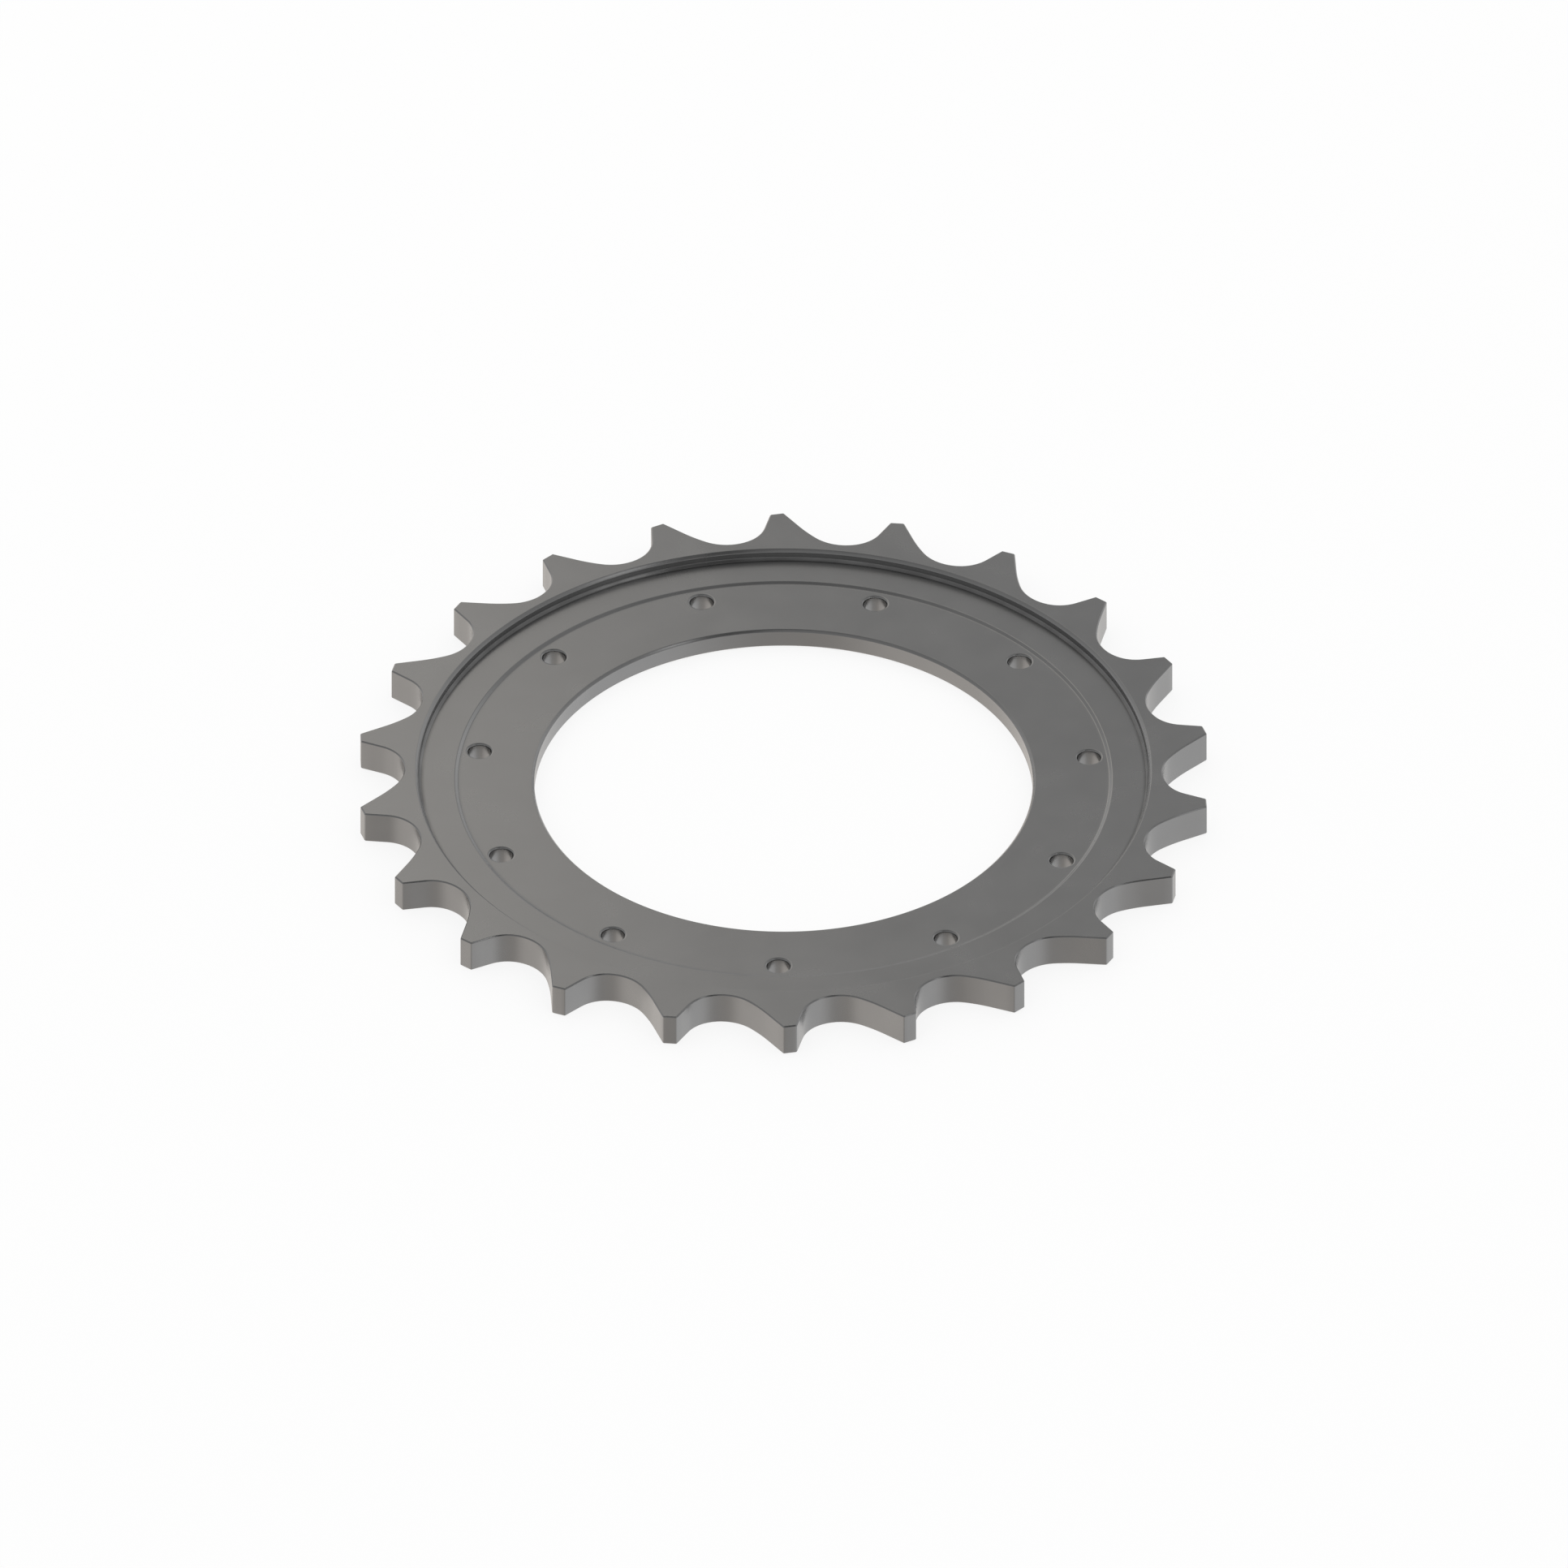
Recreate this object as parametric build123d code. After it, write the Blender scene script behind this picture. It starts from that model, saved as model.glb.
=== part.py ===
from build123d import *
from math import sqrt
import os

# Bolt-on chain sprocket: one toothed ring, cut and turned from a single flat plate.
# The teeth lean one way: each gap has a steep driving flank and a long gentle trailing flank.
# Z = 0 is the flat back face, and +Z is the recessed side that takes the bolt heads.
# Sizes are in millimetres. Places round the ring are in degrees clockwise from +Y, seen from +Z.

# Plate and hub side
thickness = 20.0
bore_radius = 145.7
bore_chamfer = 1.1
bolt_count = 11
bolt_circle_radius = 180.0
bolt_hole_radius = 6.75
bolt_hole_chamfer = 1.2
first_bolt_angle = 17.3

# Recess in the front face: a ledge, and inside it a slightly deeper flange for the bolts
recess_depth = 6.2
ledge_width = 22.9
recess_edge_break = 2.0
recess_base_break = 1.4
flange_drop = 1.7
flange_margin = 10.1
flange_slope_run = 1.8

# Toothed rim
rim_width = 8.6
tooth_count = 22
first_gap_angle = 8.55
tip_height = 3.4
tip_fall = 1.4
tip_corner_radius = 1.0
outline_edge_break = 0.7

# Gap between two teeth: a round seat for the roller, then an arc and a straight flank each side
seat_radius = 25.0
drive_seat_angle = 22.5
drive_arc_radius = 21.0
drive_arc_sweep = 45.1
trail_seat_angle = 35.6
trail_arc_radius = 90.5
trail_arc_sweep = 9.8

# Radii that follow, from the bolt circle outwards
flange_radius = bolt_circle_radius + flange_margin
recess_radius = flange_radius + ledge_width
root_radius = recess_radius + rim_width
seat_circle_radius = root_radius + seat_radius
tip_radius = seat_circle_radius + tip_height

# Heights and angles that follow
ledge_z = thickness - recess_depth
flange_z = ledge_z - flange_drop
gap_pitch = 360.0 / tooth_count


def straight_on(arc, radius):
    """Straight edge that goes on from the end of an arc, out to a distance from the ring's axis."""
    start, way = arc @ 1, arc % 1
    along = start.dot(way)
    length = sqrt(along**2 + radius**2 - start.dot(start)) - along
    return Line(start, start + way * length)


def tooth_gap():
    """Edges of one gap, its seat centred on +Y, from the trailing tip round to the driving tip."""
    seat_sweep = trail_seat_angle + drive_seat_angle
    seat = CenterArc((0, seat_circle_radius), seat_radius, -90 - trail_seat_angle, seat_sweep)
    trail_arc = JernArc(seat @ 0, -(seat % 0), trail_arc_radius, -trail_arc_sweep)
    trail_flank = straight_on(trail_arc, tip_radius)
    drive_arc = JernArc(seat @ 1, seat % 1, drive_arc_radius, drive_arc_sweep)
    drive_flank = straight_on(drive_arc, tip_radius - tip_fall)
    return [trail_flank, trail_arc, seat, drive_arc, drive_flank]


def tooth_outline():
    """Closed outline of the ring: every gap, and the sloping land on each tip, its corners rounded."""
    gap = tooth_gap()
    next_tip = (gap[0] @ 1).rotate(Axis.Z, -gap_pitch)
    land = Line(gap[-1] @ 1, next_tip)
    turns = PolarLocations(0, tooth_count, start_angle=-first_gap_angle)
    outline = make_face([turn * edge for turn in turns for edge in [*gap, land]])
    tips = outline.vertices().sort_by_distance((0, 0))[-2 * tooth_count :]
    return fillet(tips, tip_corner_radius)


def toothed_plate():
    """Flat plate with the toothed outline, the edges of both its faces broken."""
    plate = extrude(tooth_outline(), thickness)
    return chamfer(plate.faces().filter_by(Plane.XY).edges(), outline_edge_break)


def turned(*corners):
    """Solid turned about Z from the corners of its section, each a radius and a height."""
    return revolve(make_face(Plane.XZ * Polyline(*corners, close=True)), Axis.Z)


def hub_side():
    """What the lathe takes out of the plate: the bore, the flange and the recess round it."""
    bore_mouth = bore_radius + bore_chamfer
    return turned(
        (0, 0),
        (bore_mouth, 0),
        (bore_radius, bore_chamfer),
        (bore_radius, flange_z - bore_chamfer),
        (bore_mouth, flange_z),
        (flange_radius, flange_z),
        (flange_radius + flange_slope_run, ledge_z),
        (recess_radius - recess_base_break, ledge_z),
        (recess_radius, ledge_z + recess_base_break),
        (recess_radius, thickness - recess_edge_break),
        (recess_radius + recess_edge_break, thickness),
        (0, thickness),
    )


def bolt_hole():
    """Cutter for one through hole in the flange, widened at both mouths."""
    mouth = bolt_hole_radius + bolt_hole_chamfer
    return turned(
        (0, 0),
        (mouth, 0),
        (bolt_hole_radius, bolt_hole_chamfer),
        (bolt_hole_radius, flange_z - bolt_hole_chamfer),
        (mouth, flange_z),
        (0, flange_z),
    )


def sprocket():
    """The whole ring: the toothed plate less its hub side and its bolt holes."""
    bolts = PolarLocations(bolt_circle_radius, bolt_count, start_angle=90 - first_bolt_angle)
    return toothed_plate() - hub_side() - bolts * bolt_hole()


os.makedirs("parts", exist_ok=True)
export_step(sprocket(), "parts/sprocket.step")
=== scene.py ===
"""Bolt-on chain sprocket in satin steel, lying on a white floor under soft studio light."""

from math import cos, radians, sin

import bpy
import numpy as np
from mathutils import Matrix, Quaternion, Vector


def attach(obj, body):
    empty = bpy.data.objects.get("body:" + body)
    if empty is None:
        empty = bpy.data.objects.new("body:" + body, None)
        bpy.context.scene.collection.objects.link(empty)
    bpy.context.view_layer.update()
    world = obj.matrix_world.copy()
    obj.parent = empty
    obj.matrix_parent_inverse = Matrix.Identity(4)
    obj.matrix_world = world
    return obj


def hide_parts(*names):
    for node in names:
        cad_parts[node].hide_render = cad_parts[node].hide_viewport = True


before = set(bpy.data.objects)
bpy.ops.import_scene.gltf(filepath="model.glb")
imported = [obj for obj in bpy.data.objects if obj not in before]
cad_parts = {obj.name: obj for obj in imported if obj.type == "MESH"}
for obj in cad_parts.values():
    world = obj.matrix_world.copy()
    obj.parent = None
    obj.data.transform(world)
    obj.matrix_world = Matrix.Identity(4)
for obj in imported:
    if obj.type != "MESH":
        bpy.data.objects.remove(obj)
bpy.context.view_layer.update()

# Shapes are worked out in millimetres and degrees. Places round the ring run clockwise from +Y.
MM = 0.001

# Sizes as in the part's source
thickness = 20.0
bore_radius = 145.7
bolt_count = 11
bolt_circle_radius = 180.0
bolt_hole_radius = 6.75
first_bolt_angle = 17.3
flange_slope_run = 1.8

tooth_count = 22
first_gap_angle = 8.55
root_radius = 221.6
tip_height = 3.4
tip_fall = 1.4
tip_corner_radius = 1.0
outline_edge_break = 0.7

seat_radius = 25.0
drive_seat_angle = 22.5
drive_arc_radius = 21.0
drive_arc_sweep = 45.1
trail_seat_angle = 35.6
trail_arc_radius = 90.5
trail_arc_sweep = 9.8

# Sizes that follow a closer look at the photo, within half a millimetre of the source
bore_edge_break = 1.4
flange_z = 12.35
flange_radius = 190.4
ledge_z = 13.5
recess_radius = 213.5
recess_edge_break = 1.65
recess_base_break = 1.45

# Radii of the roundings that are flat or sharp in the source
corner_rounding = 0.35
outline_rounding = 0.2
step_rounding = 1.2
bolt_hole_rounding = 1.3

# The turned faces leave room between these two circles for a patch round each bolt hole
patch_inner_radius = bolt_circle_radius - 9.2
patch_outer_radius = bolt_circle_radius + 8.6

# A wide face has a row of the mesh close beside each rounding, which keeps its shading flat
wide_face = 2.5
hold = 0.12


def heading(angle):
    """Unit vectors at angles from +X towards +Y, as rows."""
    angle = np.asarray(angle, float)
    return np.stack([np.cos(angle), np.sin(angle)], -1)


def arc_run(centre, radius, start, end, count):
    """Points centre - radius * n(a) and outward normals n(a) = (-sin a, cos a), a from start to end."""
    a = np.radians(np.linspace(start, end, count))
    normal = heading(a + np.pi / 2)
    return centre - radius * normal, normal


def line_run(start, end, count):
    """Points start + t * (end - start), t from 0 to 1, with the normal a quarter turn left of the way."""
    t = np.linspace(0, 1, count)[:, None]
    way = (end - start) / np.linalg.norm(end - start)
    return start + t * (end - start), np.tile([-way[1], way[0]], (count, 1))


def reach(start, way, radius):
    """Point on the line start + s * way that is a distance from the axis."""
    along = start @ way
    return start + way * (np.sqrt(along**2 + radius**2 - start @ start) - along)


def corner_run(corner, before, after, radius, count):
    """Round convex corner between two ways: centre + radius * n, n turned evenly between their normals."""
    n0, n1 = (np.array([-w[1], w[0]]) for w in (before, after))
    centre = corner - radius * (n0 + n1) / (1 + n0 @ n1)
    a0, a1 = (np.arctan2(n[1], n[0]) for n in (n0, n1))
    normal = heading(np.linspace(a0, a1, count))
    return centre + radius * normal, normal


def turned(points, degrees):
    """The points, or vectors, turned clockwise about the axis."""
    t = radians(degrees)
    return points @ np.array([[cos(t), -sin(t)], [sin(t), cos(t)]])


def tooth_outline():
    """Outline of the ring and its outward normals, clockwise.

    Each pitch is a trailing flank and arc, the seat, a driving arc and flank, and a tip: two round
    corners with a straight land between them. The last number of a run is its count of points.
    """
    pitch = 360 / tooth_count
    seat_centre = np.array([0, root_radius + seat_radius])
    tip_radius = root_radius + seat_radius + tip_height
    seat = arc_run(seat_centre, seat_radius, -trail_seat_angle, drive_seat_angle, 13)

    trail_end = -trail_seat_angle - trail_arc_sweep
    drive_end = drive_seat_angle + drive_arc_sweep
    trail_centre = seat[0][0] + trail_arc_radius * seat[1][0]
    drive_centre = seat[0][-1] + drive_arc_radius * seat[1][-1]
    trail_arc = arc_run(trail_centre, trail_arc_radius, trail_end, -trail_seat_angle, 8)
    drive_arc = arc_run(drive_centre, drive_arc_radius, drive_seat_angle, drive_end, 10)

    down_trail, up_drive = heading(np.radians([trail_end, drive_end]))
    trail_tip = reach(trail_arc[0][0], -down_trail, tip_radius)
    drive_tip = reach(drive_arc[0][-1], up_drive, tip_radius - tip_fall)
    next_tip = turned(trail_tip, pitch)
    land_way = (next_tip - drive_tip) / np.linalg.norm(next_tip - drive_tip)
    drive_corner = corner_run(drive_tip, up_drive, land_way, tip_corner_radius, 4)
    next_corner = corner_run(next_tip, land_way, turned(down_trail, pitch), tip_corner_radius, 4)

    trail_start = turned(next_corner[0][-1], -pitch)
    runs = [
        line_run(trail_start, trail_arc[0][0], 4),
        trail_arc,
        seat,
        drive_arc,
        line_run(drive_arc[0][-1], drive_corner[0][0], 3),
        drive_corner,
        line_run(drive_corner[0][-1], next_corner[0][0], 4),
        next_corner,
    ]
    points = np.vstack([run[0][:-1] for run in runs])
    normals = np.vstack([run[1][:-1] for run in runs])
    turns = [first_gap_angle + pitch * k for k in range(tooth_count)]
    return np.vstack([turned(points, t) for t in turns]), np.vstack([turned(normals, t) for t in turns])


def rounded(corners, radii):
    """Section through corners, each a distance and a height, with an arc of a radius at each inner one.

    A point of the arc is its centre plus (sin((1 - t) * turn) * first spoke + sin(t * turn) * last
    spoke) / sin(turn), t from 0 to 1. Wide arcs take five points and small ones three.
    """
    corners = np.array(corners, float)
    rows = [corners[:1]]
    for before, corner, after, radius in zip(corners, corners[1:], corners[2:], radii):
        came, goes = corner - before, after - corner
        wide_before, wide_after = np.linalg.norm(came) > wide_face, np.linalg.norm(goes) > wide_face
        came, goes = came / np.linalg.norm(came), goes / np.linalg.norm(goes)
        turn = np.arccos(came @ goes)
        cut = radius * np.tan(turn / 2)
        inward = (goes - came) / np.linalg.norm(goes - came)
        centre = corner + inward * radius / np.cos(turn / 2)
        first, last = corner - cut * came - centre, corner + cut * goes - centre
        t = np.linspace(0, 1, 5 if radius > 1 else 3)[:, None]
        if wide_before:
            rows.append([corner - (cut + hold) * came])
        rows.append(centre + (np.sin((1 - t) * turn) * first + np.sin(t * turn) * last) / np.sin(turn))
        if wide_after:
            rows.append([corner + (cut + hold) * goes])
    return np.vstack([*rows, corners[-1:]])


def front_section():
    """Radii and heights from the bolt patches out: flange, step, ledge, recess wall and rim."""
    corners = [
        (patch_outer_radius, flange_z),
        (flange_radius, flange_z),
        (flange_radius + flange_slope_run, ledge_z),
        (recess_radius - recess_base_break, ledge_z),
        (recess_radius, ledge_z + recess_base_break),
        (recess_radius, thickness - recess_edge_break),
        (recess_radius + recess_edge_break, thickness),
        (root_radius, thickness),
    ]
    return rounded(corners, [step_rounding] * 2 + [corner_rounding] * 4)


def edge_section():
    """Insets from the outline and heights, from the front face over the toothed edge to the back face."""
    edge, face = outline_edge_break, outline_edge_break + wide_face + hold
    corners = [(face, thickness), (edge, thickness), (0, thickness - edge), (0, edge), (edge, 0), (face, 0)]
    return rounded(corners, [outline_rounding] * 4)


def bore_section():
    """Radii and heights from the bolt patches in over the bore, and out again on the back face."""
    mouth = bore_radius + bore_edge_break
    corners = [
        (patch_inner_radius, flange_z),
        (mouth, flange_z),
        (bore_radius, flange_z - bore_edge_break),
        (bore_radius, bore_edge_break),
        (mouth, 0),
        (patch_inner_radius, 0),
    ]
    return rounded(corners, [corner_rounding] * 4)


def hole_section():
    """Distances from a bolt hole's axis and heights, from the flange down to the back face."""
    radius, face = bolt_hole_radius, bolt_hole_radius + wide_face + hold
    corners = [(face, flange_z), (radius, flange_z), (radius, 0), (face, 0)]
    return rounded(corners, [bolt_hole_rounding] * 2)


def ring(points, z):
    """Closed row of the surface: plan points at one height."""
    return np.column_stack([points, np.full(len(points), float(z))])


def bolt_patch(spokes, angle):
    """Grid round one bolt hole: its sector of the flange, the rows of the hole, its sector of the back.

    A row of the hole is centre + radius * rim. The rim's directions lie halfway between even steps
    and the directions of the sector's own points.
    """
    centre = bolt_circle_radius * np.array([sin(radians(angle)), cos(radians(angle))])
    far, near = spokes * patch_outer_radius, (spokes * patch_inner_radius)[::-1]
    t = np.linspace(0, 1, 7)[1:-1, None]
    down, up = far[-1] + t * (near[0] - far[-1]), near[-1] + t * (far[0] - near[-1])
    sector = np.vstack([far, down, near, up])
    own = np.unwrap(np.arctan2(*(sector - centre).T[::-1]))
    even = own[0] - 2 * np.pi * np.arange(len(own)) / len(own)
    rim = heading((own + even) / 2)
    hole = [ring(centre + radius * rim, z) for radius, z in hole_section()[1:-1]]
    return np.stack([ring(sector, flange_z), *hole, ring(sector, 0)])


def weld(*surfaces):
    """Vertices and quads of grids of rows, columns and xyz, each closed along its columns.

    Points of two grids that meet become one. A flipped grid has its quads turned over.
    """
    vertices, quads, base = [], [], 0
    for grid, flip in surfaces:
        rows, columns = grid.shape[:2]
        index = base + np.arange(rows * columns).reshape(rows, columns)
        right = np.roll(index, -1, axis=1)
        quad = np.stack([index[:-1], right[:-1], right[1:], index[1:]], -1).reshape(-1, 4)
        quads.append(quad[:, ::-1] if flip else quad)
        vertices.append(grid.reshape(-1, 3))
        base += rows * columns
    vertices, quads = np.vstack(vertices), np.vstack(quads)
    _, first, place = np.unique(np.round(vertices, 4), axis=0, return_index=True, return_inverse=True)
    return vertices[first], place.reshape(-1)[quads]


def sprocket_surface():
    """Closed skin of the ring: turned faces, the toothed edge and a patch round each bolt hole.

    A row of a turned face is radius * spokes, with one spoke to each point of the outline. A row of
    the toothed edge is the outline less an inset * its normals.
    """
    outline, normals = tooth_outline()
    azimuth = np.arctan2(outline[:, 0], outline[:, 1])
    spokes = np.stack([np.sin(azimuth), np.cos(azimuth)], -1)
    front = [ring(radius * spokes, z) for radius, z in front_section()[:-1]]
    edge = [ring(outline - inset * normals, z) for inset, z in edge_section()[1:-1]]
    back = ring(patch_outer_radius * spokes, 0)
    bore = [ring(radius * spokes, z) for radius, z in bore_section()]

    # A patch takes the spokes of two teeth, from halfway to the bolt hole before its own
    span = 2 * len(outline) // tooth_count
    start = np.argmin(np.abs(np.degrees(azimuth) - first_bolt_angle + 180 / bolt_count))
    patches = []
    for k in range(bolt_count):
        own = (start + span * k + np.arange(span + 1)) % len(spokes)
        patches.append((bolt_patch(spokes[own], first_bolt_angle + 360 / bolt_count * k), True))
    return weld((np.stack([*front, *edge, back]), False), (np.stack(bore), True), *patches)


def piece(name, vertices, faces, material):
    """Mesh object at the origin made from arrays in millimetres, shaded smooth."""
    mesh = bpy.data.meshes.new(name)
    mesh.from_pydata((vertices * MM).tolist(), [], faces.tolist())
    mesh.polygons.foreach_set("use_smooth", np.ones(len(mesh.polygons), bool))
    mesh.materials.append(material)
    mesh.update()
    obj = bpy.data.objects.new(name, mesh)
    bpy.context.scene.collection.objects.link(obj)
    return obj


class Wire:
    """An output on a node tree. Arithmetic on it adds the tree's Math nodes."""

    def __init__(self, net, socket):
        self.net, self.socket = net, socket

    def maths(self, operation, *others):
        """A Math node that takes this output first."""
        return self.net.maths(operation, self, *others)

    def beside(self, name):
        """Another output of the same node."""
        return Wire(self.net, self.socket.node.outputs[name])

    def __add__(self, other):
        return self.maths("ADD", other)

    def __sub__(self, other):
        return self.maths("SUBTRACT", other)

    def __rsub__(self, other):
        return self.net.maths("SUBTRACT", other, self)

    def __mul__(self, other):
        return self.maths("MULTIPLY", other)

    def __pow__(self, other):
        return self.maths("POWER", other)

    __radd__ = __add__
    __rmul__ = __mul__


class Net:
    """The node tree of a material or a world."""

    def __init__(self, owner):
        owner.use_nodes = True
        self.tree = owner.node_tree
        self.tree.nodes.clear()

    def node(self, kind, settings=None, sockets=None, out=0):
        """Adds a node: its settings first, then values or links on its sockets. Gives its chosen output."""
        made = self.tree.nodes.new(kind)
        for name, value in (settings or {}).items():
            setattr(made, name, value)
        for name, value in (sockets or {}).items():
            if isinstance(value, Wire):
                self.tree.links.new(value.socket, made.inputs[name])
            else:
                made.inputs[name].default_value = value
        return Wire(self, made.outputs[out]) if made.outputs else made

    def maths(self, operation, *values):
        """A Math node on wires or numbers, in their order."""
        return self.node("ShaderNodeMath", {"operation": operation}, dict(enumerate(values)))

    def noise(self, place, **sockets):
        """Noise over a place, with values from 0 to 1."""
        return self.node("ShaderNodeTexNoise", {}, {"Vector": place, **sockets})

    def mixed(self, factor, a, b):
        """Colour between a and b."""
        return self.node("ShaderNodeMix", {"data_type": "RGBA"}, {0: factor, 6: a, 7: b}, 2)

    def eased(self, value, start, full):
        """0 before the start and 1 past the full value, with a smooth step between."""
        sockets = {"Value": value, "From Min": start, "From Max": full}
        return self.node("ShaderNodeMapRange", {"interpolation_type": "SMOOTHSTEP"}, sockets)

    def band(self, value, start, full, wane, end):
        """1 from the full value to the wane, and 0 before the start and past the end."""
        return self.eased(value, start, full) * self.eased(value, end, wane)


def grey(level, warm=0.0):
    """Linear colour of a grey, its red raised and its blue lowered by a share."""
    return (level * (1 + warm), level, level * (1 - warm), 1)


def satin_steel():
    """Satin grey steel: pale patches, clouds, a fine grain, painted shade at the foot of the recess wall and
    painted light on the wall.
    """
    material = bpy.data.materials.new("satin steel")
    net = Net(material)
    place = net.node("ShaderNodeTexCoord", out="Object")
    patches = net.noise(place, Scale=14.0, Detail=3.0, Distortion=0.8)
    clouds = net.noise(place, Scale=55.0, Detail=4.0)
    grain = net.noise(place, Scale=900.0, Detail=2.0)
    colour = net.mixed(patches * 0.6 + clouds * 0.3 + grain * 0.1, grey(0.235), grey(0.305))

    # The painted shade at the foot of the recess wall and the painted light on the wall itself are each a
    # band of distances past the wall and of heights over the ledge, in metres
    x = net.node("ShaderNodeSeparateXYZ", {}, {0: place}, "X")
    y, z = x.beside("Y"), x.beside("Z")
    past = (x * x + y * y) ** 0.5 - recess_radius * MM
    over = z - ledge_z * MM
    painted_shade_foot = net.band(past, -0.0040, -0.0014, 0.0001, 0.0004)
    painted_shade_foot = painted_shade_foot * net.band(over, -0.0035, -0.0015, 0.0014, 0.0022)
    painted_light_wall = net.band(past, -0.0003, -0.0001, 0.0001, 0.0003)
    painted_light_wall = painted_light_wall * net.band(over, 0.0014, 0.0017, 0.0043, 0.0046)
    # Painted shade: the foot of the recess wall is darkened towards near black, standing in for the shade
    # that falls in that corner
    colour = net.mixed(painted_shade_foot * clouds * 0.7, colour, grey(0.03, warm=0.02))
    # Painted light: the recess wall itself is made paler, standing in for the light that it reflects
    colour = net.mixed(painted_light_wall * 0.45, colour, grey(0.55))

    rough = clouds * 0.04 + patches * 0.08 + 0.20
    bump = net.node("ShaderNodeBump", {}, {"Strength": 0.05, "Distance": 0.0002, "Height": grain})
    sockets = {"Base Color": colour, "Metallic": 1.0, "Roughness": rough, "Normal": bump}
    shader = net.node("ShaderNodeBsdfPrincipled", {}, sockets)
    net.node("ShaderNodeOutputMaterial", {}, {"Surface": shader})
    return material


def pale_floor():
    """White floor: seen as nearly plain white, matt to other rays, and clear to mirrored ones."""
    material = bpy.data.materials.new("pale floor")
    net = Net(material)
    camera = net.node("ShaderNodeLightPath", out="Is Camera Ray")
    seen, mirrored = camera + camera.beside("Is Transmission Ray"), camera.beside("Is Glossy Ray")
    matt = net.node("ShaderNodeBsdfDiffuse", {}, {"Color": grey(0.9)})
    white = net.node("ShaderNodeEmission", {}, {"Color": grey(1.0), "Strength": 1.0})
    clear = net.node("ShaderNodeBsdfTransparent")
    floor = net.node("ShaderNodeMixShader", {}, {0: seen * 0.85, 1: matt, 2: white})
    floor = net.node("ShaderNodeMixShader", {}, {0: mirrored, 1: floor, 2: clear})
    net.node("ShaderNodeOutputMaterial", {}, {"Surface": floor})
    return material


def studio_sky():
    """Plain white surroundings. Mirrored rays meet a room, dim above and pale low down at the sides."""
    world = bpy.data.worlds.new("studio")
    bpy.context.scene.world = world
    net = Net(world)
    way = net.node("ShaderNodeTexCoord", out="Generated")
    x = net.node("ShaderNodeSeparateXYZ", {}, {0: way}, "X")
    y, z = x.beside("Y"), x.beside("Z")

    def glow(towards, edge, core):
        """1 round one direction and 0 away from it, eased between two cosines of the angle from it."""
        cosine = net.node("ShaderNodeVectorMath", {"operation": "DOT_PRODUCT"}, {0: way, 1: towards}, "Value")
        return net.eased(cosine, edge, core)

    spot_lamp = glow((0.57, -0.39, 0.72), 0.987, 0.997)
    window = glow((0.60, 0.67, 0.43), 0.95, 0.99)
    shade = glow((0.33, -0.55, 0.77), 0.965, 0.99)
    overhead = net.eased(z, 0.80, 0.92) * net.eased(y, 0.10, -0.15)
    above = 0.40 + net.eased(y, -0.2, 0.8) * 0.06 + (1.0 - z) ** 3.0 * 0.5 - overhead * 0.18
    above = above * (1.0 - shade * 0.8) + spot_lamp * 1.2 + window * 0.35

    sides = net.eased(x.maths("ABSOLUTE"), 0.2, 0.75)
    below = (0.64 + sides * 0.34 + net.eased(y, 0.2, 0.7) * 0.22).maths("MINIMUM", 1.0)
    low = net.eased(z, 0.12, -0.12)
    room = above + low * (below - above)

    mirrored = net.node("ShaderNodeLightPath", out="Is Glossy Ray")
    tint = net.mixed(mirrored * low * net.eased(x, 0.9, -0.4), grey(1.0), grey(1.0, warm=0.055))
    strength = 1.0 + mirrored * (room - 1.0)
    sky = net.node("ShaderNodeBackground", {}, {"Color": tint, "Strength": strength})
    net.node("ShaderNodeOutputWorld", {}, {"Surface": sky})


sprocket = piece("toothed_ring", *sprocket_surface(), satin_steel())
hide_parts("sprocket")
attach(sprocket, "root")

# The floor lies a hair under the back face, so that the two never share a plane
side, under = 3000, -0.2
corners = [(-side, -side, under), (side, -side, under), (side, side, under), (-side, side, under)]
floor = piece("floor", np.array(corners), np.array([[0, 1, 2, 3]]), pale_floor())

studio_sky()

# A warm panel behind and above, which the left half of the flat faces mirrors to the camera
panel = bpy.data.lights.new("left panel", "AREA")
panel.shape = "RECTANGLE"
panel.size, panel.size_y = 1.15, 2.0
panel.color = (1.0, 0.93, 0.83)
panel.energy = 0.5 * np.pi * panel.size * panel.size_y
lamp = bpy.data.objects.new("left panel", panel)
lit_place, lamp_way, lamp_distance = Vector((-0.685, 0, 0)), Vector((0, -0.8, -0.6)), 2.6
lamp.location = lit_place - lamp_distance * lamp_way
roll = Quaternion((0, 0, 1), radians(12))
lamp.rotation_euler = (lamp_way.to_track_quat("-Z", "Y") @ roll).to_euler()
bpy.context.scene.collection.objects.link(lamp)

# A parallel view from in front and above, like the photo's
elevation, aim, camera_distance = radians(36.974), Vector((0.00025, 0, 0.00959)), 2.0
back_way = Vector((0, -cos(elevation), sin(elevation)))
camera = bpy.data.objects.new("camera", bpy.data.cameras.new("camera"))
camera.data.type = "ORTHO"
camera.data.ortho_scale = 0.9166
camera.data.clip_end = 20
camera.location = aim + camera_distance * back_way
camera.rotation_euler = (-back_way).to_track_quat("-Z", "Y").to_euler()
bpy.context.scene.collection.objects.link(camera)
bpy.context.scene.camera = camera

bpy.context.scene.view_settings.view_transform = "Standard"
